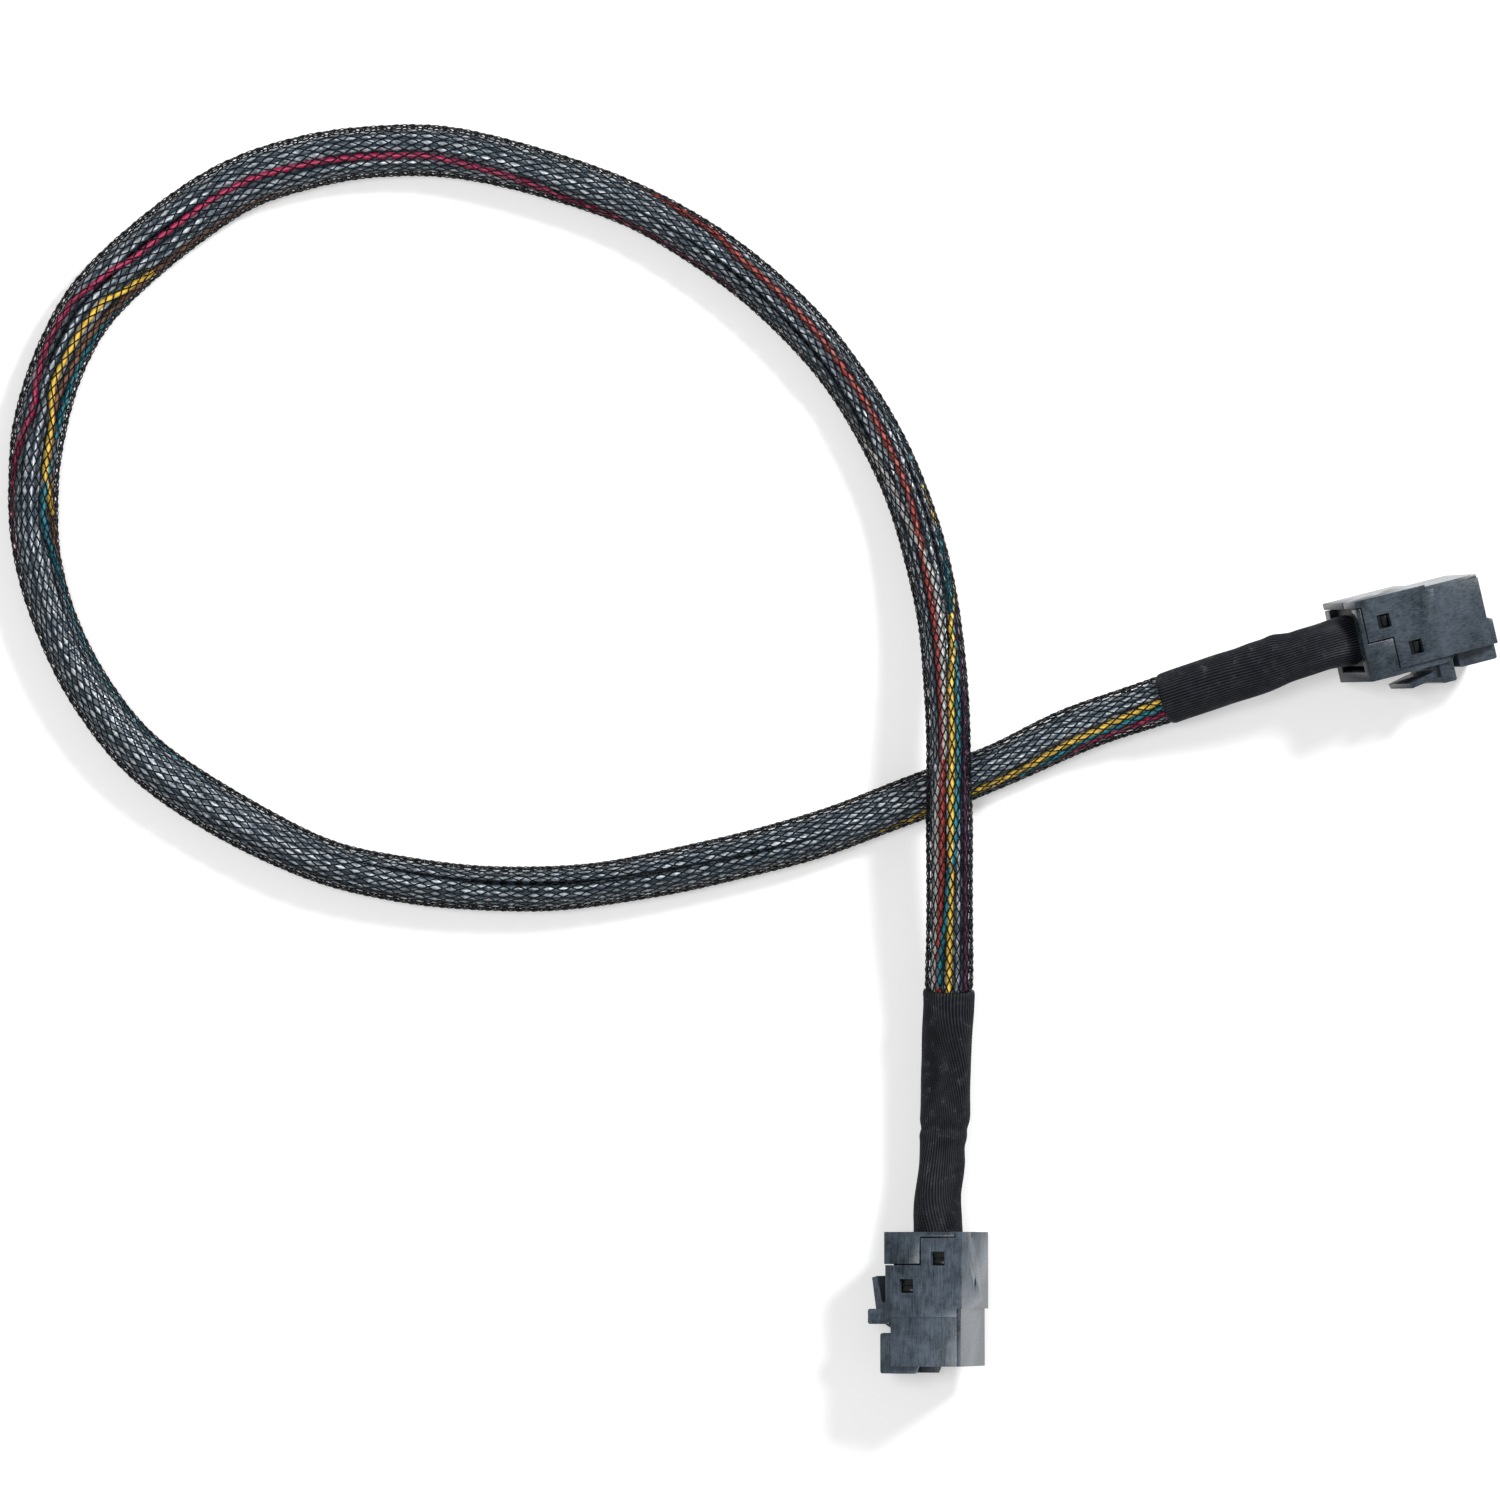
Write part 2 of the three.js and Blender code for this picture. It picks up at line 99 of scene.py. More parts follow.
@dataclass
class Course:
    """Stations on the middle line: where each is, and the directions along, left and up there."""

    distance: Array
    centre: Array
    along: Array
    left: Array
    up: Array

    def point(self, sideways: Array, upwards: Array) -> Array:
        """Centre plus left times sideways plus up times upwards, for whole rings at once.

        Args:
            sideways: distance to the left of travel, with the stations on its second last axis.
            upwards: distance above the middle line, of the same shape.

        Returns:
            The points, with one more axis for x, y and z.
        """
        centre, left, up = (each[:, None, :] for each in (self.centre, self.left, self.up))
        return centre + left * sideways[..., None] + up * upwards[..., None]


class Route:
    """The middle line as one smooth curve with its own length."""

    def __init__(self, knots: Array, samples: int = 24) -> None:
        """Runs a centripetal Catmull-Rom curve through the knots.

        Each knot's slope comes from its two neighbours, weighted by the square roots of the
        distances between them, and a cubic joins each knot to the next.

        Args:
            knots: the points that the curve passes, one a row.
            samples: how many points stand for each cubic.
        """
        ends = np.vstack([2 * knots[0] - knots[1], knots, 2 * knots[-1] - knots[-2]])
        gaps = np.sqrt(np.linalg.norm(np.diff(ends, axis=0), axis=1))
        before, first, second, after = ends[:-3], ends[1:-2], ends[2:-1], ends[3:]
        gap0, gap1, gap2 = (each[:, None] for each in (gaps[:-2], gaps[1:-1], gaps[2:]))
        slope1 = gap1 * (
            (first - before) / gap0 - (second - before) / (gap0 + gap1) + (second - first) / gap1
        )
        slope2 = gap1 * (
            (second - first) / gap1 - (after - first) / (gap1 + gap2) + (after - second) / gap2
        )
        share = np.linspace(0.0, 1.0, samples, endpoint=False)[None, :, None]
        square = (-3 * first + 3 * second - 2 * slope1 - slope2)[:, None]
        cube = (2 * first - 2 * second + slope1 + slope2)[:, None]
        pieces = first[:, None] + slope1[:, None] * share + square * share**2 + cube * share**3
        self.points = np.vstack([pieces.reshape(-1, 3), knots[-1]])
        steps = np.linalg.norm(np.diff(self.points, axis=0), axis=1)
        self.distances = np.concatenate([[0.0], np.cumsum(steps)])
        self.length = float(self.distances[-1])

    def course(self, distances: Array) -> Course:
        """The stations at these distances, with left level and up square to left and along.

        Args:
            distances: how far each station lies along the curve.

        Returns:
            The stations.
        """
        slopes = unit(np.gradient(self.points, self.distances, axis=0))
        columns = np.hstack([self.points, slopes]).T
        found = np.array([np.interp(distances, self.distances, column) for column in columns]).T
        along = unit(found[:, 3:])
        left = unit(np.cross((0.0, 0.0, 1.0), along))
        return Course(distances, found[:, :3], along, left, np.cross(along, left))


@dataclass(frozen=True)
class Envelope:
    """The sleeve's outline: an oval whose width follows the sleeve and that stays on the table."""

    radius: float = 3.4 * MM
    flattening: float = 0.45
    narrow: float = 0.95

    # Waves of the half width: height and length of one radian in millimetres, and start.
    WAVES = ((0.05, 7.3, 0.0), (0.04, 3.1, 1.0))

    # Width of the sleeve in millimetres at a distance in millimetres along the middle line.
    WIDTHS = (
        (0, 6.1), (34, 6.2), (37.2, 7.2), (45, 6.95), (60, 6.8), (80, 6.65), (100, 6.5),
        (130, 6.6), (150, 6.8), (175, 6.85), (190, 7.2), (207, 7.8), (225, 8.25), (247, 8.55),
        (262, 8.2), (275, 8.0), (285, 7.5), (296, 6.85), (310, 6.75), (330, 7.1), (343, 7.5),
        (357, 6.9), (385, 6.65), (430, 6.75), (445, 7.0), (460, 6.75), (474, 7.0), (486, 7.2),
        (490, 6.2), (520, 6.1),
    )

    def halves(self, distance: Array) -> tuple[Array, Array]:
        """Half the width and half the height at each distance.

        The width comes from the list above. What it has over the plain radius makes the sleeve
        lower by the flattening times that, as when a round sleeve is pressed on the table. A
        sleeve narrower than the plain radius, as under the collars, stays round.

        Args:
            distance: places along the middle line.

        Returns:
            The half widths and the half heights.
        """
        wave = sum(
            height * np.sin(distance / (length * MM) + start)
            for height, length, start in self.WAVES
        )
        wide = (eased(distance / MM, self.WIDTHS) / 2 + wave) * MM
        high = self.radius - self.flattening * (wide - self.radius)
        return wide, np.where(wide < self.radius * self.narrow, wide, high)

    def sink(self, high: Array) -> Array:
        """How far the oval's centre moves down so that a low oval still rests on the table."""
        return np.minimum(0.0, high - self.radius)


def swept(rings: Array, closed: bool = False) -> tuple[Array, list[Array]]:
    """Joins rings of points into tubes: each four neighbours on two rings make one face.

    Args:
        rings: points of shape (tubes, stations, around, 3), counterclockwise seen from ahead.
        closed: whether the last ring joins the first. Otherwise both ends get a cap.

    Returns:
        The points, and the faces as one array for each number of corners.
    """
    tubes, stations, around, _ = rings.shape
    number = np.arange(tubes * stations * around).reshape(tubes, stations, around)
    after = np.roll(number, -1, axis=2)
    if closed:
        ahead, ahead_after = np.roll(number, -1, axis=1), np.roll(after, -1, axis=1)
        quads = np.stack([number, after, ahead_after, ahead], axis=-1)
        return rings.reshape(-1, 3), [quads.reshape(-1, 4)]
    quads = np.stack([number[:, :-1], after[:, :-1], after[:, 1:], number[:, 1:]], axis=-1)
    caps = np.concatenate([number[:, 0, ::-1], number[:, -1]])
    return rings.reshape(-1, 3), [quads.reshape(-1, 4), caps]


def boxes(centres: Array, sizes: Array, matrix: Array, origin: Array) -> tuple[Array, list[Array]]:
    """Plain plates: eight corners each at the centre plus or minus half the size.

    Args:
        centres: the plates' middles in a plug's own directions.
        sizes: their sizes along those directions.
        matrix: turns the plug's directions into the room's.
        origin: the plug's place in the room.

    Returns:
        The points and the faces.
    """
    signs = np.array([[x, y, z] for x in (-1, 1) for y in (-1, 1) for z in (-1, 1)])
    corners = centres[:, None, :] + signs[None] * sizes[:, None, :] / 2
    sides = np.array(
        [[0, 1, 3, 2], [4, 6, 7, 5], [0, 4, 5, 1], [2, 3, 7, 6], [0, 2, 6, 4], [1, 5, 7, 3]]
    )
    faces = sides[None] + 8 * np.arange(len(centres))[:, None, None]
    return corners.reshape(-1, 3) @ matrix.T + origin, [faces.reshape(-1, 4)]


# Finishes


class Signal:
    """One socket's value in a finish, with the sums that the finish does on it."""

    def __init__(self, recipe: "Recipe", socket: bpy.types.NodeSocket) -> None:
        """Keeps the socket and the recipe it belongs to."""
        self.recipe = recipe
        self.socket = socket

    def other(self, name: str) -> "Signal":
        """Another outlet of the same node."""
        return Signal(self.recipe, self.socket.node.outputs[name])

    def sum(self, operation: str, *amounts: Amount) -> "Signal":
        """One Math node on these amounts."""
        return self.recipe.add(
            "ShaderNodeMath", {"operation": operation}, dict(enumerate(amounts))
        )

    def __add__(self, amount: Amount) -> "Signal":
        """This plus the amount."""
        return self.sum("ADD", self, amount)

    def __radd__(self, amount: Amount) -> "Signal":
        """The amount plus this."""
        return self.sum("ADD", amount, self)

    def __sub__(self, amount: Amount) -> "Signal":
        """This less the amount."""
        return self.sum("SUBTRACT", self, amount)

    def __rsub__(self, amount: Amount) -> "Signal":
        """The amount less this."""
        return self.sum("SUBTRACT", amount, self)

    def __mul__(self, amount: Amount) -> "Signal":
        """This times the amount."""
        return self.sum("MULTIPLY", self, amount)

    def __rmul__(self, amount: Amount) -> "Signal":
        """The amount times this."""
        return self.sum("MULTIPLY", amount, self)


class Recipe:
    """The nodes of one finish."""

    def __init__(self, owner: bpy.types.Material | bpy.types.World) -> None:
        """Empties the owner's nodes.

        Args:
            owner: the material or the world that the recipe is for.
        """
        self.owner = owner
        owner.use_nodes = True
        self.tree = owner.node_tree
        self.tree.nodes.clear()

    @classmethod
    def named(cls, name: str) -> "Recipe":
        """A recipe for a new material of this name."""
        return cls(bpy.data.materials.new(name))

    def add(
        self,
        kind: str,
        settings: Mapping[str, object] | None = None,
        sockets: Mapping[int | str, object] | None = None,
        outlet: int | str = 0,
    ) -> Signal | None:
        """Puts in one node.

        Args:
            kind: the node's type.
            settings: the node's own settings, set first. A ramp's stops are pairs of place, grey.
            sockets: a value or a Signal for each of its sockets, by name or number.
            outlet: which of its outlets is wanted.

        Returns:
            That outlet, or None where the node has no outlets.
        """
        node = self.tree.nodes.new(kind)
        for name, value in (settings or {}).items():
            if name == "stops":
                ramp = node.color_ramp.elements
                while len(ramp) < len(value):
                    ramp.new(0.5)
                for element, (place, grey) in zip(ramp, value):
                    element.position, element.color = place, (grey, grey, grey, 1.0)
            else:
                setattr(node, name, value)
        for name, value in (sockets or {}).items():
            if isinstance(value, Signal):
                self.tree.links.new(value.socket, node.inputs[name])
            elif isinstance(value, tuple) and node.inputs[name].type == "RGBA":
                node.inputs[name].default_value = (*value, 1.0)
            else:
                node.inputs[name].default_value = value
        return Signal(self, node.outputs[outlet]) if node.outputs else None

    def place(self, turn: float = 0.0, stretch: Colour = (1.0, 1.0, 1.0)) -> Signal:
        """Object coordinates, turned about the upright and stretched.

        Args:
            turn: the pattern's heading.
            stretch: scale along the turned pattern's axes.

        Returns:
            The coordinates.
        """
        here = self.add("ShaderNodeTexCoord", outlet="Object")
        turned = self.add(
            "ShaderNodeMapping", None, {"Vector": here, "Rotation": (0.0, 0.0, -turn)}
        )
        return self.add("ShaderNodeVectorMath", {"operation": "MULTIPLY"}, {0: turned, 1: stretch})

    def noise(self, place: Signal, size: float, detail: float = 3.0, rough: float = 0.55) -> Signal:
        """Soft noise from nought to one.

        Args:
            place: the coordinates.
            size: how wide one patch is.
            detail: how many finer layers lie on it.
            rough: how strong they are.

        Returns:
            The noise.
        """
        sockets = {"Vector": place, "Scale": 1.0 / size, "Detail": detail, "Roughness": rough}
        return self.add("ShaderNodeTexNoise", None, sockets)

    def ramp(self, amount: Signal, *stops: tuple[float, float]) -> Signal:
        """A grey curve through the stops."""
        return self.add("ShaderNodeValToRGB", {"stops": stops}, {"Fac": amount})

    def blend(self, share: Amount, first: object, second: object) -> Signal:
        """A colour from the first to the second by the share."""
        sockets = {0: share, 6: first, 7: second}
        return self.add("ShaderNodeMix", {"data_type": "RGBA"}, sockets, outlet=2)

    def bump(self, height: Signal, depth: float, strength: float = 1.0) -> Signal:
        """A surface raised by the height times the depth."""
        sockets = {"Height": height, "Distance": depth, "Strength": strength}
        return self.add("ShaderNodeBump", None, sockets)

    def surface(self, **sockets: object) -> bpy.types.Material:
        """Ends the recipe with one shader.

        Args:
            **sockets: the shader's sockets, with _ for a space.

        Returns:
            The material.
        """
        named = {name.replace("_", " "): value for name, value in sockets.items()}
        shader = self.add("ShaderNodeBsdfPrincipled", None, named)
        self.add("ShaderNodeOutputMaterial", None, {"Surface": shader})
        return self.owner

    def shade(self, name: str) -> Signal:
        """A number that the piece keeps at each of its points, by its name."""
        return self.add("ShaderNodeAttribute", {"attribute_name": name}, outlet="Fac")

    def seen(self) -> Signal:
        """One for rays from the camera and for those reflected or let through, else nought."""
        rays = self.add("ShaderNodeLightPath", outlet="Is Camera Ray")
        return rays + rays.other("Is Glossy Ray") + rays.other("Is Transmission Ray")


@dataclass(frozen=True)
class HousingPlastic:
    """Black moulded plastic that looks slate grey in soft light, with a fine lengthwise grain."""

    name: str
    turn: float
    dark: Colour
    light: Colour
    roughness: float = 0.17
    # The colour of the painted shade on faces deep in the snap windows.
    painted_recess_shade: Colour = (0.0015, 0.0025, 0.004)

    def material(self) -> bpy.types.Material:
        """Mottled cloudy patches and a grain stretched along the plug, with painted shade on the
        faces deep in the snap windows.
        """
        recipe = Recipe.named(self.name)
        clouds = recipe.noise(recipe.place(), 4.0 * MM, 2.0, 0.5)
        patches = recipe.noise(recipe.place(), 1.1 * MM, 4.0, 0.65)
        grain = recipe.noise(recipe.place(self.turn, (0.06, 1.0, 1.0)), 0.2 * MM, 2.0, 0.6)
        specks = recipe.noise(recipe.place(), 0.16 * MM, 2.0, 0.5)
        total = clouds * 0.3 + patches * 0.25 + grain * 0.3 + specks * 0.15
        share = recipe.ramp(total, (0.38, 0.0), (0.6, 1.0))
        return recipe.surface(
            # Painted shade: faces marked as deep in the snap windows take the near-black recess
            # colour.
            Base_Color=recipe.blend(
                recipe.shade("sunk"), recipe.blend(share, self.dark, self.light), self.painted_recess_shade
            ),
            Roughness=self.roughness + share * 0.1,
            Normal=recipe.bump(grain * 0.6 + specks * 0.4, 0.012 * MM, 0.6),
            Specular_IOR_Level=0.2,
        )


@dataclass(frozen=True)
class CollarRubber:
    """Heat-shrink: black polyolefin, fine ribs painted lighter on their crests and darker in the
    grooves as painted light and shade, and a satin sheen.
    """

    base: Colour = (0.001, 0.0012, 0.0022)
    # The greyer colour painted on the rib crests, as painted light.
    crest: Colour = (0.026, 0.03, 0.038)
    dust: Colour = (0.1, 0.1, 0.1)

    def material(self) -> bpy.types.Material:
        """Black rubber, a little greyer on the ribs as painted light and darker between them as
        painted shade, with random patches and grey dust rubbed into small specks.
        """
        recipe = Recipe.named("heat_shrink_rubber")
        rib = recipe.shade("crest")
        patches = recipe.noise(recipe.place(), 1.6 * MM, 4.0, 0.65)
        specks = recipe.noise(recipe.place(), 0.3 * MM, 3.0, 0.6)
        # Painted light and shade on the ribs: greyer on the crests, darker in the grooves, mixed
        # with random patches.
        worn = recipe.ramp(rib * 0.7 + patches * 0.6, (0.55, 0.0), (1.0, 1.0))
        dusty = recipe.ramp(patches * 0.6 + specks * 0.4, (0.57, 0.0), (0.7, 1.0))
        rubber = recipe.blend(worn, self.base, self.crest)
        return recipe.surface(
            Base_Color=recipe.blend(dusty * 0.6, rubber, self.dust),
            Roughness=0.3 + specks * 0.2,
            Normal=recipe.bump(specks, 0.03 * MM, 0.6),
            Specular_IOR_Level=0.09,
        )


@dataclass(frozen=True)
class BraidFilament:
    """Black polyester filament, smooth and glossy."""

    base: Colour = (0.0008, 0.0014, 0.0028)
    worn: Colour = (0.004, 0.007, 0.011)

    def material(self) -> bpy.types.Material:
        """Near-black with slightly greyer lengths."""
        recipe = Recipe.named("braid_filament")
        patches = recipe.noise(recipe.place(), 1.6 * MM, 3.0, 0.6)
        share = recipe.ramp(patches, (0.45, 0.0), (0.7, 1.0))
        return recipe.surface(
            Base_Color=recipe.blend(share, self.base, self.worn),
            Roughness=0.08 + patches * 0.1,
            Specular_IOR_Level=0.1,
        )


@dataclass(frozen=True)
class RibbonFoil:
    """The ribbon's silvery blue-grey jacket, drawn tight over each wire."""

    # Painted shade in the grooves and a painted glint colour on the crests, over the jacket's own
    # blue-grey.
    painted_groove_shade: Colour = (0.012, 0.021, 0.03)
    jacket: Colour = (0.085, 0.122, 0.157)
    painted_glint: Colour = (0.62, 0.68, 0.74)

    def material(self) -> bpy.types.Material:
        """Painted shade between the wires, silvery over them, with painted glints on short lengths
        along the crests.
        """
        recipe = Recipe.named("ribbon_foil")
        crest = recipe.shade("crest")
        patches = recipe.noise(recipe.place(), 3.0 * MM, 3.0, 0.6)
        dents = recipe.noise(recipe.place(), 1.1 * MM, 2.0, 0.5)
        # Painted shade: darker in the grooves between the wires, by the crest height.
        over = recipe.ramp(crest, (0.05, 0.0), (0.6, 1.0))
        # Painted glints: short bright lengths, mostly along the crests.
        rub_marks_and_glints = recipe.ramp(crest * 0.45 + dents * 0.6 + patches * 0.3, (0.77, 0.0), (0.92, 1.0))
        silver = recipe.blend(rub_marks_and_glints, self.jacket, self.painted_glint)
        return recipe.surface(
            Base_Color=recipe.blend(over, self.painted_groove_shade, silver),
            Roughness=0.22 + patches * 0.14,
            Metallic=0.15,
            Normal=recipe.bump(dents, 0.16 * MM, 0.7),
            Specular_IOR_Level=0.3,
        )


@dataclass(frozen=True)
class WireInsulation:
    """Smooth coloured insulation of a thin wire."""

    name: str
    colour: Colour
    dimmed: float = 0.55

    def material(self) -> bpy.types.Material:
        """The wire's colour, a little darker in places."""
        recipe = Recipe.named(self.name)
        patches = recipe.noise(recipe.place(), 1.8 * MM, 3.0, 0.6)
        share = recipe.ramp(patches, (0.3, 0.0), (0.6, 1.0))
        dark = tuple(self.dimmed * part for part in self.colour)
        return recipe.surface(
            Base_Color=recipe.blend(share, dark, self.colour),
            Roughness=0.3 + patches * 0.15,
            Normal=recipe.bump(patches, 0.05 * MM, 0.4),
        )


@dataclass(frozen=True)
class CardLaminate:
    """A printed card: green solder mask over a woven glass laminate."""

    mask: Colour = (0.008, 0.045, 0.022)
    trace: Colour = (0.016, 0.085, 0.04)

    def material(self) -> bpy.types.Material:
        """Green lacquer with faint lengthwise traces and the glass weave under it."""
        recipe = Recipe.named("card_laminate")
        weave = recipe.noise(recipe.place(0.0, (1.0, 0.2, 1.0)), 0.2 * MM, 2.0, 0.5)
        lines = recipe.noise(recipe.place(0.0, (0.2, 1.0, 1.0)), 0.3 * MM, 1.0, 0.4)
        share = recipe.ramp(lines, (0.48, 0.0), (0.54, 1.0))
        return recipe.surface(
            Base_Color=recipe.blend(share, self.mask, self.trace),
            Roughness=0.3 + weave * 0.15,
            Normal=recipe.bump(weave * 0.5 + share * 0.5, 0.02 * MM, 0.5),
        )


@dataclass(frozen=True)
class ContactGold:
    """Gold flash on the contact pads, with rubbing marks along them."""

    colour: Colour = (0.83, 0.6, 0.26)
    worn: Colour = (0.7, 0.52, 0.3)

    def material(self) -> bpy.types.Material:
        """Polished gold, duller along its rub marks."""
        recipe = Recipe.named("contact_gold")
        rub_marks_and_glints = recipe.noise(recipe.place(), 0.35 * MM, 3.0, 0.6)
        return recipe.surface(
            Base_Color=recipe.blend(rub_marks_and_glints, self.colour, self.worn),
            Roughness=0.18 + rub_marks_and_glints * 0.2,
            Metallic=1.0,
            Normal=recipe.bump(rub_marks_and_glints, 0.01 * MM, 0.5),
        )


@dataclass(frozen=True)
class WireMoulding:
    """Dull dark resin poured over the wires' ends."""

    base: Colour = (0.018, 0.018, 0.02)
    pale: Colour = (0.05, 0.048, 0.045)

    def material(self) -> bpy.types.Material:
        """Dark resin with pale flow marks."""
        recipe = Recipe.named("wire_moulding_resin")
        flow = recipe.noise(recipe.place(), 1.1 * MM, 4.0, 0.6)
        share = recipe.ramp(flow, (0.4, 0.0), (0.7, 1.0))
        return recipe.surface(
            Base_Color=recipe.blend(share, self.base, self.pale),
            Roughness=0.5 + flow * 0.2,
            Normal=recipe.bump(flow, 0.08 * MM, 0.6),
        )


class Insulation(Enum):
    """The eight single wires, by the colour of their insulation."""

    ORANGE = (0.43, 0.04, 0.025)
    YELLOW = (0.95, 0.6, 0.06)
    TEAL = (0.0, 0.2, 0.27)
    PURPLE = (0.09, 0.012, 0.07)
    CRIMSON = (0.42, 0.01, 0.08)
    BROWN = (0.2, 0.085, 0.04)
    BLUE = (0.02, 0.07, 0.36)
    WHITE = (0.62, 0.62, 0.6)

    @property
    def slot(self) -> str:
        """The record's slot for this wire."""
        return f"{self.name.lower()}_insulation"

    @property
    def node(self) -> str:
        """The solid that this wire stands for."""
        return f"{self.name.lower()}_wire"


# Pieces


def piece(
    name: str,
    surface: tuple[Array, list[Array]],
    material: bpy.types.Material,
    replaces: Sequence[str] = (),
    crest: Array | None = None,
) -> bpy.types.Object:
    """Makes a mesh object from points and faces and lets it ride on the cable.

    Args:
        name: the piece's name.
        surface: its points, and its faces grouped by how many corners they have.
        material: its finish.
        replaces: the solids that it stands for.
        crest: for each point, how far it stands on a crest, from nought to one.

    Returns:
        The object.
    """
    points, groups = surface
    corners = np.concatenate([np.full(len(group), group.shape[1]) for group in groups])
    starts = np.concatenate([[0], np.cumsum(corners)[:-1]]).astype(np.int32)
    loops = np.concatenate([group.ravel() for group in groups]).astype(np.int32)
    mesh = bpy.data.meshes.new(name)
    mesh.vertices.add(len(points))
    mesh.vertices.foreach_set("co", np.ascontiguousarray(points, dtype=np.float32).ravel())
    mesh.loops.add(len(loops))
    mesh.loops.foreach_set("vertex_index", loops)
    mesh.polygons.add(len(corners))
    mesh.polygons.foreach_set("loop_start", starts)
    mesh.update(calc_edges=True)
    mesh.validate()
    mesh.polygons.foreach_set("use_smooth", corners == 4)
    if crest is not None:
        kept = mesh.attributes.new("crest", "FLOAT", "POINT")
        kept.data.foreach_set("value", crest.astype(np.float32).ravel())
    return placed(bpy.data.objects.new(name, mesh), material, replaces)


def placed(
    made: bpy.types.Object,
    material: bpy.types.Material,
    replaces: Sequence[str] = (),
) -> bpy.types.Object:
    """Puts an object in the scene with its finish, on the one body that there is.

    Args:
        made: the object.
        material: its finish.
        replaces: the solids that it stands for.

    Returns:
        The same object.
    """
    bpy.context.scene.collection.objects.link(made)
    made.data.materials.clear()
    made.data.materials.append(material)
    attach(made, BODY)
    if replaces:
        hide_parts(*replaces)
    log.info("%s: %d faces", made.name, len(made.data.polygons))
    return made


@dataclass
class Braid:
    """The open braid: strands that run round the sleeve both ways, over one and under the next."""

    route: Route
    envelope: Envelope
    strands_each_way: int = 22
    lead: float = 47.9 * MM
    half_width: float = 0.105 * MM
    half_thickness: float = 0.085 * MM
    weave: float = 0.12 * MM
    around: int = 6

    def strands(self, numbers: Array, hand: int) -> tuple[Array, list[Array]]:
        """Some of the strands of one hand.

        A strand's angle grows evenly along the cable, by a whole turn each lead. Its middle lies
        on the oval at that angle, and moves out and in by a sine that has half a wave from one
        crossing to the next. Round the middle goes a flat oval, its width square to the strand.

        Args:
            numbers: which strands.
            hand: 1 for the strands that climb to the left, -1 for the others.

        Returns:
            The points and the faces.
        """
        crossing = self.lead / (2 * self.strands_each_way)
        stations = 2 * round(self.route.length / crossing) + 1
        course = self.route.course(np.linspace(0.0, self.route.length, stations))
        wide, high = self.envelope.halves(course.distance)
        sink = self.envelope.sink(high)
        out = self.half_thickness + self.weave
        start = 2 * math.pi * numbers[:, None] / self.strands_each_way
        turned = hand * 2 * math.pi * course.distance[None] / self.lead
        angle = start + turned
        cosine, sine = np.cos(angle), np.sin(angle)
        wave = hand * self.weave * np.sin(
            math.pi * (course.distance[None] / crossing + hand * numbers[:, None] + 0.5)
        )
        normal = unit(
            course.left * (cosine / wide)[..., None] + course.up * (sine / high)[..., None]
        )
        middle = (
            course.centre
            + course.left * ((wide - out) * cosine)[..., None]
            + course.up * ((high - out) * sine + sink)[..., None]
            + normal * wave[..., None]
        )
        heading = unit(np.gradient(middle, axis=1))
        across = unit(np.cross(heading, normal))
        turn = np.linspace(0.0, 2 * math.pi, self.around, endpoint=False)
        rings = (
            middle[:, :, None]
            + across[:, :, None] * (self.half_width * np.cos(turn))[:, None]
            + np.cross(heading, across)[:, :, None] * (self.half_thickness * np.sin(turn))[:, None]
        )
        return swept(rings)

    def build(self) -> list[bpy.types.Object]:
        """Makes the strands in four pieces, so that none is too heavy.

        Returns:
            The pieces, of which the first stands for the sleeve.
        """
        finish = BraidFilament().material()
        numbers = np.arange(self.strands_each_way)
        made = []
        for hand, side in ((1, "left"), (-1, "right")):
            for half, chosen in enumerate((numbers[::2], numbers[1::2])):
                name = f"braid_{side}_strands_{half + 1}"
                solids = () if made else ("braided_sleeve",)
                made.append(piece(name, self.strands(chosen, hand), finish, solids))
        return made


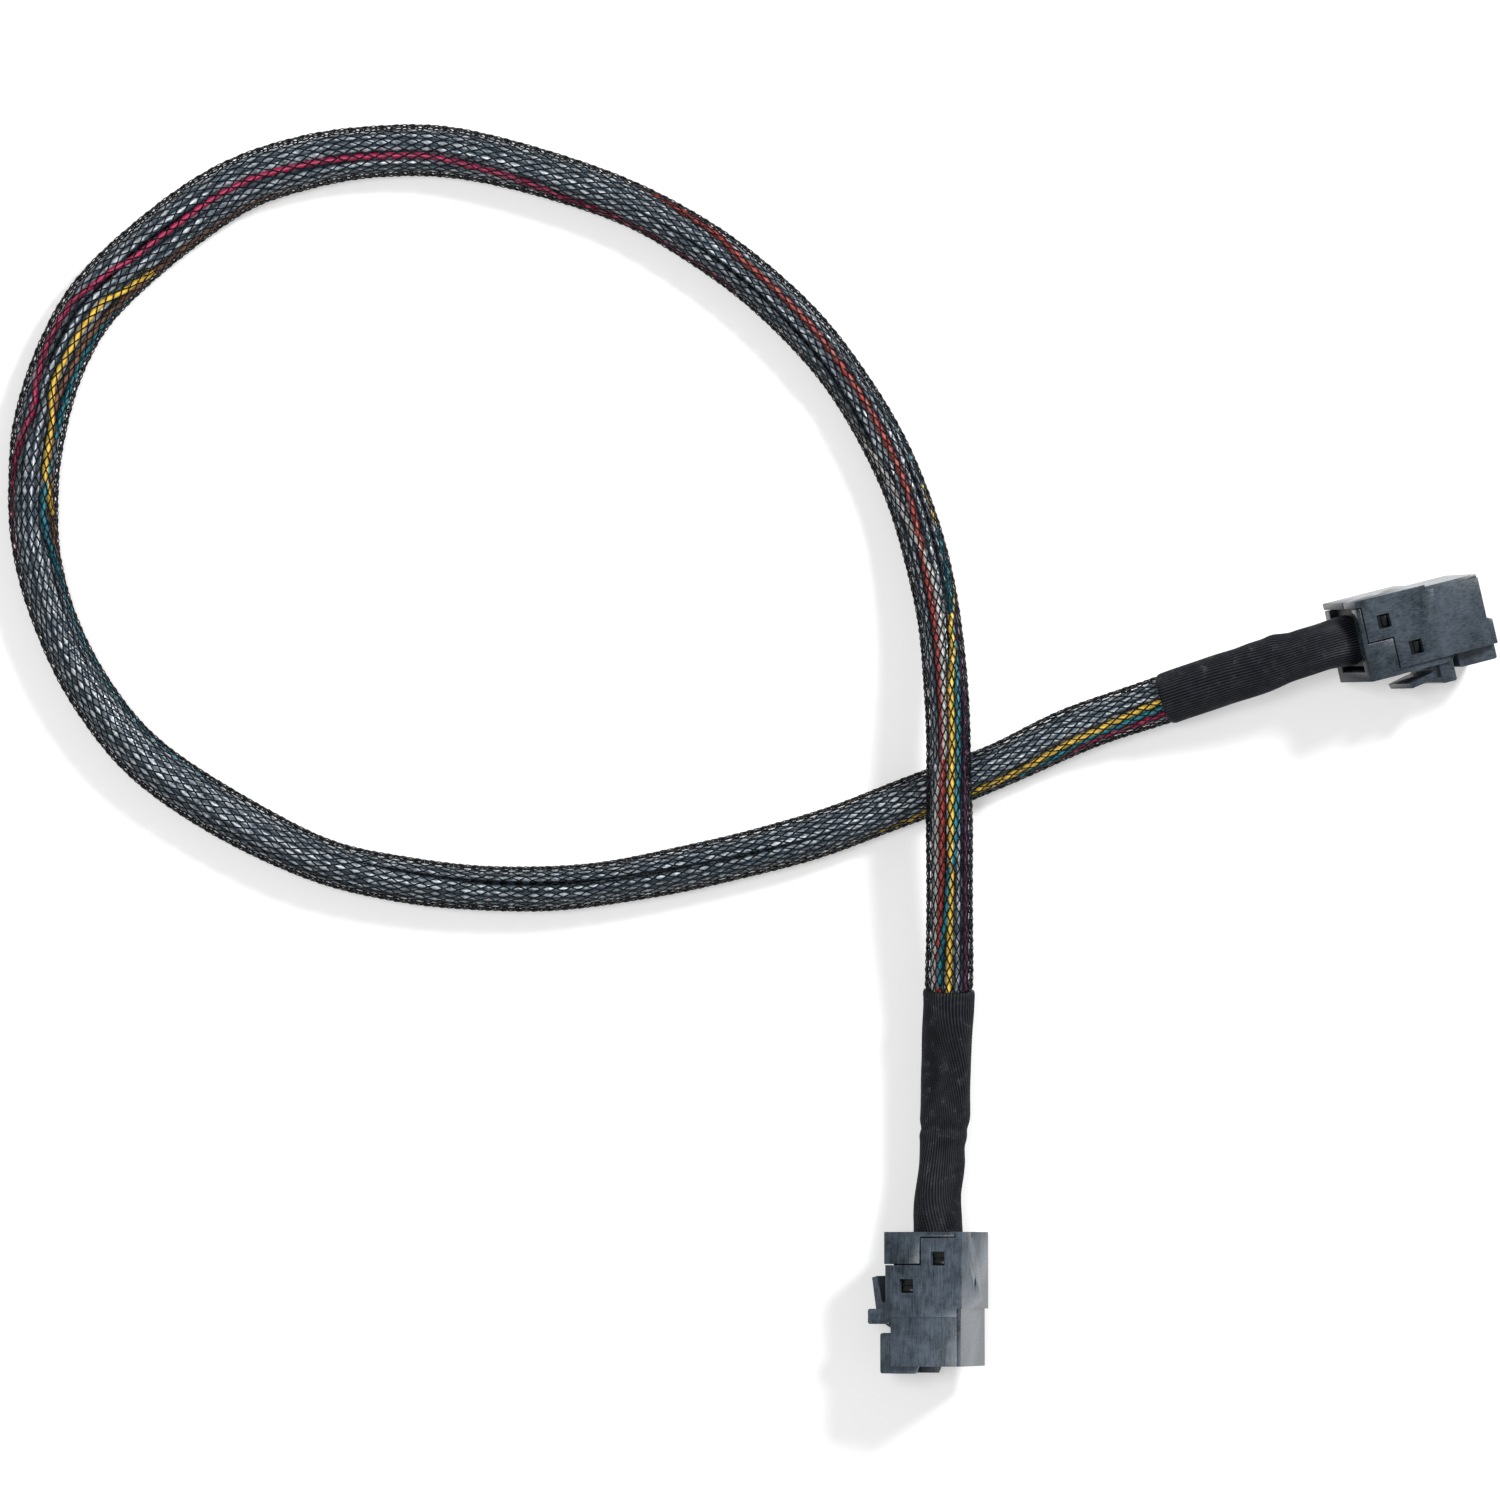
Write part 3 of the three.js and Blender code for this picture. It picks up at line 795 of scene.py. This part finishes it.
@dataclass
class Bundle:
    """What the sleeve holds: four ribbons round the middle and eight single wires on them."""

    route: Route
    envelope: Envelope
    turns: float = 0.6
    ribbon_radius: float = 2.3 * MM
    ribbon_reach: float = math.radians(43)
    ribbon_half_thickness: float = 0.36 * MM
    ribbons: int = 4
    ribbon_stations: int = 340
    ribbon_points: int = 17
    crest_height: float = 0.35
    wander: float = 0.12
    wander_length: float = 19 * MM
    wander_start: float = 1.7
    swell: float = 0.18
    swell_length: float = 1.9 * MM
    swell_start: float = 2.4
    swell_slant: float = 3.0
    end_gap: float = 0.4 * MM
    wire_centre: float = 2.6 * MM
    wire_radius: float = 0.45 * MM
    wire_stations: int = 420
    wire_points: int = 8
    press: float = 0.85 * MM
    press_reach: float = math.radians(17)

    # For each wire, how far round the bundle it lies: degrees from the top to the left of travel,
    # at a distance in millimetres along the middle line.
    LAYS = {
        Insulation.ORANGE: (
            (0, 30), (40, 36), (57, 26), (78, 20), (93, 18),
            (115, -8), (127, -13), (140, -22), (151, -30), (158, -60),
            (176, -130), (300, -160), (420, -200), (517, -180),
        ),
        Insulation.YELLOW: (
            (0, 12), (40, 2), (58, -4), (78, -12), (88, -38), (98, -95), (125, -130), (190, -180),
            (245, -268), (249, -303), (256, -337), (262, -341),
            (269, -350), (276, -322), (282, -322), (293, -262),
            (330, -180), (430, -140), (450, -74), (458, -58), (472, -30), (486, -4), (517, 5),
        ),
        Insulation.TEAL: (
            (0, 60), (28, 50), (40, 33), (50, 8), (60, -18), (70, -30), (86, -42), (110, -110),
            (190, -200), (240, -240), (256, -262), (266, -290), (278, -300), (288, -326),
            (302, -265), (420, -170), (455, -105), (466, -66), (476, -38), (486, -25), (517, -20),
        ),
        Insulation.PURPLE: (
            (0, -50), (37, -58), (64, -60), (86, -84), (110, -140), (300, -180), (517, -160),
        ),
        Insulation.CRIMSON: (
            (0, 150), (120, 140), (160, 108), (173, 84), (190, 40), (202, 18),
            (232, 2), (239, 3), (246, 0), (253, -22), (258, -48),
            (264, -58), (269, -42), (273, -26), (286, -95), (310, -160), (400, -175),
            (450, -125), (466, -90), (476, -58), (486, -48), (517, -45),
        ),
        Insulation.BROWN: (
            (0, 200), (200, 150), (235, 98), (247, 84), (264, 48), (272, 32), (281, 56),
            (296, 98), (330, 160), (517, 200),
        ),
        Insulation.BLUE: ((0, 205), (120, 180), (300, 150), (400, 175), (517, 150)),
        Insulation.WHITE: (
            (0, 60), (30, 58), (48, 48), (64, 45), (72, 16), (95, -3), (110, 40), (130, 110),
            (300, 200), (517, 190),
        ),
    }

    def course(self, stations: int) -> Course:
        """Even stations from one end of the ribbons and wires to the other."""
        gap = self.end_gap
        return self.route.course(np.linspace(gap, self.route.length - gap, stations))

    def pressed(self, distance: Array, angle: Array) -> Array:
        """How far the ribbons give way under the single wires.

        Under each wire the dent falls off as e to the minus fourth power of the angle from the
        wire over the reach. Where several wires lie, the deepest dent counts.

        Args:
            distance: places along the middle line, as a column.
            angle: angles from the left of travel, one row a place.

        Returns:
            The dents' depth at each angle.
        """
        lays = np.array([eased(distance[:, 0] / MM, lay) for lay in self.LAYS.values()])
        gap = angle[None] - (math.pi / 2 - np.radians(lays))[:, :, None]
        gap = (gap + math.pi) % (2 * math.pi) - math.pi
        return self.press * np.exp(-((gap / self.press_reach) ** 4)).max(axis=0)

    def ribbon(self, index: int) -> tuple[tuple[Array, list[Array]], Array]:
        """One ribbon, bent to a quarter of the way round the bundle.

        Across the ribbon a share goes from -1 to 1. The angle is the ribbon's own plus the share
        times its reach, and the half thickness swells and shrinks by the sine of two turns of
        that share, so that four wires show as rounded crests. The bundle's turns add to the angle.

        Args:
            index: which ribbon, from 0.

        Returns:
            The points and the faces, and how far each point stands on a crest.
        """
        course = self.course(self.ribbon_stations)
        wide, high = self.envelope.halves(course.distance)
        scale = self.envelope.radius
        share = np.linspace(-1.0, 1.0, self.ribbon_points)
        crest = np.abs(np.sin(2 * math.pi * share))
        shares = np.concatenate([share, share[::-1]])
        thick = 1.0 - self.crest_height + self.crest_height * crest
        faces_out = np.concatenate([thick, -thick[::-1]])
        along = course.distance[:, None]
        wander = self.wander * np.sin(along / self.wander_length + self.wander_start * index)
        start = 2 * math.pi / self.ribbons * (index + 0.5)
        turn = start + 2 * math.pi * self.turns * along / self.route.length
        angle = turn + wander + shares[None] * self.ribbon_reach
        phase = along / self.swell_length + self.swell_start * index
        phase = phase + self.swell_slant * shares[None]
        swell = 1.0 + self.swell * np.sin(phase)
        out = self.ribbon_radius + self.ribbon_half_thickness * faces_out[None] * swell
        out = out - self.pressed(along, angle)
        sideways = out * np.cos(angle) * (wide / scale)[:, None]
        upwards = out * np.sin(angle) * (high / scale)[:, None] + self.envelope.sink(high)[:, None]
        # The crest values drive the foil's painted shade in the grooves and its painted glints on
        # the crests.
        crests = np.tile(np.concatenate([crest, crest[::-1]])[::-1], (len(along), 1))
        return swept(course.point(sideways, upwards)[None, :, ::-1]), crests

    def wire(self, lay: Steps) -> tuple[Array, list[Array]]:
        """One single wire.

        Its centre lies at the sine and cosine of its angle times the wires' distance from the
        middle, and a circle goes round that centre.

        Args:
            lay: its angles from the top at distances along the cable.

        Returns:
            The points and the faces.
        """
        course = self.course(self.wire_stations)
        wide, high = self.envelope.halves(course.distance)
        scale = self.envelope.radius
        angle = np.radians(eased(course.distance / MM, lay))[:, None]
        circle = np.linspace(0.0, 2 * math.pi, self.wire_points, endpoint=False)[None]
        sideways = self.wire_centre * np.sin(angle) * (wide / scale)[:, None]
        upwards = self.wire_centre * np.cos(angle) * (high / scale)[:, None]
        upwards = upwards + self.envelope.sink(high)[:, None]
        sideways = sideways + self.wire_radius * np.cos(circle)
        upwards = upwards + self.wire_radius * np.sin(circle)
        return swept(course.point(sideways, upwards)[None])

    def build(self) -> list[bpy.types.Object]:
        """Makes the ribbons and the wires.

        Returns:
            The pieces.
        """
        foil = RibbonFoil().material()
        made = []
        for index in range(self.ribbons):
            shape, crests = self.ribbon(index)
            name, solid = f"ribbon_{index + 1}", f"twinax_ribbon_{index + 1}"
            made.append(piece(name, shape, foil, (solid,), crests))
        for colour, lay in self.LAYS.items():
            finish = WireInsulation(colour.slot, colour.value).material()
            name = f"{colour.name.lower()}_insulated_wire"
            made.append(piece(name, self.wire(lay), finish, (colour.node,)))
        return made


@dataclass(frozen=True)
class CollarForm:
    """A collar's own form, in millimetres, with distances from its plug's end of the cable."""

    length: float
    radii: Steps
    dents: Sequence[tuple[float, float, float, float, float]]
    twist: float


# Each dent is a distance, an angle, a height that is negative where the collar is pressed in, a
# length along the tube and a reach round it. Angles and reaches are in radians.
COLLAR_A = CollarForm(
    36.2,
    (
        (0.0, 3.55), (2.5, 3.5), (8, 3.26), (13.6, 3.3), (15, 3.42), (16, 3.33), (17.4, 3.53),
        (24, 3.56), (34, 3.66), (36.2, 3.74),
    ),
    (
        (15.8, 0.2, -0.12, 0.5, 0.9), (13.2, math.pi, -0.14, 1.2, 0.8),
        (18.0, math.pi, 0.12, 1.6, 0.7), (10.0, 1.3, -0.12, 3.0, 0.3),
        (16.3, 1.9, -0.14, 0.9, 0.6), (24.0, 2.4, 0.1, 6.0, 0.3),
    ),
    0.2,
)
COLLAR_B = CollarForm(
    29.5,
    ((0.0, 3.6), (1, 3.6), (5, 3.36), (10, 3.45), (15, 3.7), (22, 3.74), (29.5, 3.72)),
    (
        (11.3, 0.5, 0.42, 1.3, 0.7), (8.8, 0.5, -0.16, 0.9, 0.8), (8.0, 1.6, -0.26, 1.2, 0.4),
        (10.5, 2.2, 0.16, 1.6, 0.4), (5.5, 2.3, 0.14, 1.2, 0.35), (15.0, 0.3, 0.14, 1.8, 0.6),
        (12.5, math.pi, 0.12, 2.5, 0.7),
    ),
    -0.04,
)


@dataclass
class Collar:
    """A heat-shrink with fine lengthwise ribs over the sleeve's end."""

    plug: str
    route: Route
    form: CollarForm
    at_end: bool = False
    inner: float = 3.1 * MM
    ribs: int = 56
    rib_height: float = 0.06 * MM
    rib_points: int = 6
    station_step: float = 0.42 * MM
    bore_stations: int = 16
    rim_length: float = 0.3 * MM
    rim_drop: float = 0.14 * MM
    least_wall: float = 0.05 * MM
    twist_length: float = 5.3 * MM
    sway_length: float = 4.2 * MM
    slant_length: float = 6.0 * MM

    # Wrinkles: height, number round the tube, and length of one radian along it.
    WRINKLES = ((0.045 * MM, 3, 1.9 * MM), (0.035 * MM, 5, -1.3 * MM))

    def place(self, distance: float) -> float:
        """Where a distance in millimetres from the plug's end lies on the middle line."""
        return self.route.length - distance * MM if self.at_end else distance * MM

    def shape(self) -> tuple[tuple[Array, list[Array]], Array]:
        """The tube's outside, its rounded rims and its bore, as one closed skin.

        The outside is the radius from the list, plus the ribs, a sine of the angle times their
        number, turned slowly along the tube. The dents are added as bell curves of the distance
        and the angle, and two low waves as wrinkles. The bore is plain.

        Returns:
            The points and the faces, and how far each point stands on a rib.
        """
        start, stop = sorted((self.place(0.0), self.place(self.form.length)))
        count = round((stop - start) / self.station_step)
        distance = np.concatenate(
            [np.linspace(start, stop, count), np.linspace(stop, start, self.bore_stations)]
        )
        course = self.route.course(distance)
        around = self.ribs * self.rib_points
        angle = np.linspace(0.0, 2 * math.pi, around, endpoint=False)[None]
        along = distance[:, None]
        twist = self.form.twist
        turned = twist * (along / self.twist_length + np.sin(along / self.sway_length))
        slant = np.sin(2 * angle + along / self.slant_length)
        turned = turned + 0.5 * abs(twist) * slant
        wave = np.sin(self.ribs * (angle + turned))
        radii = sorted((self.place(place), radius * MM) for place, radius in self.form.radii)
        outside = eased(distance, radii)[:, None] + self.rib_height * wave
        for height, number, length in self.WRINKLES:
            outside = outside + height * np.sin(number * angle + along / length)
        for place, middle, height, length, reach in self.form.dents:
            gap = (angle - middle + math.pi) % (2 * math.pi) - math.pi
            bell = ((along - self.place(place)) / (length * MM)) ** 2 + (gap / reach) ** 2
            outside = outside + height * MM * np.exp(-bell)
        near_rim = np.minimum(along - start, stop - along) / self.rim_length
        rounded = self.rim_drop * (1 - np.clip(near_rim, 0.0, 1.0)) ** 2
        is_out = (np.arange(len(distance)) < count)[:, None]
        skin = np.maximum(outside - rounded, self.inner + self.least_wall)
        size = np.where(is_out, skin, self.inner)
        # The rib values drive the rubber's painted light on the crests and painted shade in the
        # grooves.
        crests = np.where(is_out, 0.5 + 0.5 * wave, 0.0)
        return swept(course.point(size * np.cos(angle), size * np.sin(angle))[None], True), crests

    def build(self, finish: bpy.types.Material) -> bpy.types.Object:
        """Makes the collar.

        Args:
            finish: the rubber.

        Returns:
            The piece.
        """
        shape, crests = self.shape()
        solid = f"{self.plug}_heat_shrink"
        return piece(f"{self.plug}_collar", shape, finish, (solid,), crests)


@dataclass
class Plug:
    """One plug: two mouldings with softened edges, its cards and their contact pads."""

    name: str
    place: tuple[float, float, float]
    heading: float
    pitch: float
    roll: float
    # A factor on the plastic's tones. Below one it gives a darker copy of the same plastic as
    # painted shade, as on plug B.
    shade: float = 1.0
    pads: int = 9
    pad_pitch: float = 0.76 * MM
    pad_size: tuple[float, float, float] = (2.9 * MM, 0.03 * MM, 0.5 * MM)
    pad_middle: float = 16.2 * MM
    card_pitch: float = 4.6 * MM
    card_half_thickness: float = 0.4 * MM
    window_face: float = 6.5 * MM
    windows_end: float = 10.0 * MM
    windows_reach: float = 4.5 * MM
    window_depth: float = 0.5 * MM
    rounding: float = 0.12 * MM
    rounding_segments: int = 2
    sharp_angle: float = math.radians(28)
    flat_angle: float = math.radians(0.6)
    weld_distance: float = 0.002 * MM

    # Dark and light tone of each moulding's plastic. The rear tones are darker: partly the rear
    # moulding's own slightly darker look, partly painted shade in the snap windows, where the rear
    # moulding shows.
    TONES = {
        "front": ((0.01, 0.017, 0.026), (0.092, 0.118, 0.15)),
        "rear": ((0.005, 0.009, 0.014), (0.062, 0.084, 0.108)),
    }

    def matrix(self) -> Array:
        """The turn about x by the roll, then about y by the pitch, then about z by the heading."""
        (cz, sz), (cy, sy), (cx, sx) = (
            (math.cos(math.radians(turn)), math.sin(math.radians(turn)))
            for turn in (self.heading, self.pitch, self.roll)
        )
        about_z = np.array([[cz, -sz, 0], [sz, cz, 0], [0, 0, 1]])
        about_y = np.array([[cy, 0, sy], [0, 1, 0], [-sy, 0, cy]])
        about_x = np.array([[1, 0, 0], [0, cx, -sx], [0, sx, cx]])
        return about_z @ about_y @ about_x

    def sunk(self, mesh: bpy.types.Mesh) -> Array:
        """Which faces lie deep in the snap windows, where little light comes, so that their plastic
        gets painted shade.

        Args:
            mesh: a moulding's mesh.

        Returns:
            One for each such face, nought for the others.
        """
        middles, normals = (np.empty(3 * len(mesh.polygons)) for _ in range(2))
        mesh.polygons.foreach_get("center", middles)
        mesh.polygons.foreach_get("normal", normals)
        along, across, deep = ((middles.reshape(-1, 3) - self.place) @ self.matrix()).T
        facing = np.abs((normals.reshape(-1, 3) @ self.matrix())[:, 2]) > 0.9
        depth = self.window_face - np.abs(deep)
        near = (along < self.windows_end) & (np.abs(across) < self.windows_reach)
        return facing & near & (depth > self.window_depth)

    def moulding(self, part: str, finish: bpy.types.Material) -> bpy.types.Object:
        """A copy of one moulded solid with its sharp edges rounded.

        Args:
            part: front_housing or rear_housing.
            finish: its plastic.

        Returns:
            The piece.
        """
        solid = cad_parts[f"{self.name}_{part}"]
        mesh = solid.data.copy()
        work = bmesh.new()
        work.from_mesh(mesh)
        bmesh.ops.remove_doubles(work, verts=work.verts, dist=self.weld_distance)
        bmesh.ops.dissolve_limit(
            work, angle_limit=self.flat_angle, verts=work.verts, edges=work.edges
        )
        bmesh.ops.recalc_face_normals(work, faces=work.faces)
        work.to_mesh(mesh)
        work.free()
        mesh.polygons.foreach_set("use_smooth", np.ones(len(mesh.polygons), dtype=bool))
        # Painted shade: faces deep in the snap windows are marked so that the plastic turns near
        # black there.
        marked = mesh.attributes.new("sunk", "FLOAT", "FACE")
        marked.data.foreach_set("value", self.sunk(mesh).astype(np.float32))
        made = bpy.data.objects.new(f"{self.name}_{part}_moulded", mesh)
        rounding = made.modifiers.new("rounding", "BEVEL")
        rounding.width = self.rounding
        rounding.segments = self.rounding_segments
        rounding.limit_method = "ANGLE"
        rounding.angle_limit = self.sharp_angle
        rounding.harden_normals = True
        rounding.use_clamp_overlap = True
        return placed(made, finish, (f"{self.name}_{part}",))

    def contacts(self, finish: bpy.types.Material) -> bpy.types.Object:
        """Rows of pads on both faces of both cards, at even steps across the card.

        Args:
            finish: the gold.

        Returns:
            The piece.
        """
        across = (np.arange(self.pads) - (self.pads - 1) / 2) * self.pad_pitch
        faces = [
            side * self.card_pitch / 2 + face * (self.card_half_thickness + self.pad_size[1] / 2)
            for side in (-1, 1)
            for face in (-1, 1)
        ]
        centres = np.array([(self.pad_middle, face, z) for face in faces for z in across])
        sizes = np.tile(self.pad_size, (len(centres), 1))
        shape = boxes(centres, sizes, self.matrix(), np.array(self.place))
        made = piece(f"{self.name}_contact_pads", shape, finish)
        made.data.polygons.foreach_set("use_smooth", np.zeros(len(made.data.polygons), dtype=bool))
        return made

    def build(self, finishes: Mapping[str, bpy.types.Material]) -> list[bpy.types.Object]:
        """Makes the plug and dresses the solids that stay.

        Args:
            finishes: the finishes by name.

        Returns:
            The new pieces.
        """
        turn = math.radians(self.heading)
        made = []
        for part, tones in self.TONES.items():
            # The shade factor darkens both tones as painted shade.
            dark, light = (tuple(self.shade * share for share in tone) for tone in tones)
            plastic = HousingPlastic(f"{self.name}_{part}_plastic", turn, dark, light)
            made.append(self.moulding(f"{part}_housing", plastic.material()))
        made.append(self.contacts(finishes["gold"]))
        for part, finish in (
            ("latch_side_paddle_card", "card"),
            ("plain_side_paddle_card", "card"),
            ("wire_moulding", "resin"),
        ):
            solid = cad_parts[f"{self.name}_{part}"]
            solid.data.materials.clear()
            solid.data.materials.append(finishes[finish])
            log.info("%s: dressed as it is", solid.name)
        return made


# The room


@dataclass
class Room:
    """The pale floor, the soft lamps and the camera straight above."""

    camera_place: tuple[float, float, float] = (-0.0629, 0.0324, 1.204)
    lens: float = 197.9
    floor_size: float = 6.0
    floor_drop: float = 0.02 * MM
    floor_glow: float = 0.34
    room_light: float = 0.36

    # The lamps: name, place, length of the sides and power.
    LAMPS = (
        ("upper_right_lamp", (0.42, 0.5, 0.62), 0.17, 7.0),
        ("overhead_lamp", (-0.25, 0.1, 1.1), 0.25, 4.0),
    )

    def floor(self) -> bpy.types.Object:
        """A pale level floor that shows as white and keeps the shadow.

        Returns:
            The floor.
        """
        recipe = Recipe.named("pale_floor")
        material = recipe.surface(
            Base_Color=(0.8, 0.8, 0.8),
            Roughness=0.9,
            Specular_IOR_Level=0.1,
            Emission_Color=(1.0, 1.0, 1.0),
            Emission_Strength=recipe.seen() * self.floor_glow,
        )
        half = self.floor_size / 2
        points = np.array([(-half, -half, 0), (half, -half, 0), (half, half, 0), (-half, half, 0)])
        mesh = bpy.data.meshes.new("floor")
        mesh.from_pydata((points - (0, 0, self.floor_drop)).tolist(), [], [(0, 1, 2, 3)])
        made = bpy.data.objects.new("floor", mesh)
        bpy.context.scene.collection.objects.link(made)
        mesh.materials.append(material)
        return made

    def world(self) -> None:
        """Even soft light from all sides, which shows as white."""
        recipe = Recipe(bpy.data.worlds.new("soft_room"))
        bpy.context.scene.world = recipe.owner
        strength = self.room_light + recipe.seen() * (1.0 - self.room_light)
        sockets = {"Color": (1.0, 1.0, 1.0), "Strength": strength}
        light = recipe.add("ShaderNodeBackground", None, sockets)
        recipe.add("ShaderNodeOutputWorld", None, {"Surface": light})

    def lamp(self, name: str, place: Colour, size: float, power: float) -> None:
        """One square soft lamp that faces the cable.

        Args:
            name: its name.
            place: where it hangs.
            size: the length of its sides.
            power: its light in watts.
        """
        light = bpy.data.lights.new(name, "AREA")
        light.shape, light.size, light.energy = "SQUARE", size, power
        made = bpy.data.objects.new(name, light)
        made.location = place
        aim = Vector((*self.camera_place[:2], 0.0)) - made.location
        made.rotation_euler = aim.to_track_quat("-Z", "Y").to_euler()
        bpy.context.scene.collection.objects.link(made)

    def camera(self) -> None:
        """A long lens straight above the cable, with the top of the picture towards +Y."""
        data = bpy.data.cameras.new("camera")
        data.lens, data.sensor_width = self.lens, 36.0
        made = bpy.data.objects.new("camera", data)
        made.location = self.camera_place
        bpy.context.scene.collection.objects.link(made)
        bpy.context.scene.camera = made

    def build(self) -> None:
        """Sets up the camera, the floor and the light."""
        self.camera()
        self.floor()
        self.world()
        for lamp in self.LAMPS:
            self.lamp(*lamp)
        bpy.context.scene.view_settings.view_transform = "Standard"


def main() -> None:
    logging.basicConfig(level=logging.INFO, format="%(name)s: %(message)s")
    Room().build()
    route = Route(np.array(MIDDLE_LINE) * MM)
    envelope = Envelope()
    log.info("middle line: %.1f mm", route.length / MM)
    strands = Braid(route, envelope).build()
    contents = Bundle(route, envelope).build()

    rubber = CollarRubber().material()
    collar_a = Collar("plug_a", route, COLLAR_A).build(rubber)
    collar_b = Collar("plug_b", route, COLLAR_B, at_end=True).build(rubber)

    finishes = {
        "gold": ContactGold().material(),
        "card": CardLaminate().material(),
        "resin": WireMoulding().material(),
    }
    plug_a = Plug("plug_a", (-0.0359, -0.0375, 0.008021), -90.0, -3.5, 18.5).build(finishes)
    # Plug B's plastic is darkened by the last number, 0.62, as painted shade.
    plug_b = Plug("plug_b", (0.02345, 0.0479, 0.011797), 14.2, 16.0, 4.0, 0.62).build(finishes)
    log.info("plugs: %d new pieces", len(plug_a) + len(plug_b))

    stations = route.course(np.linspace(0.0, route.length, 240))


if __name__ == "__main__":
    main()
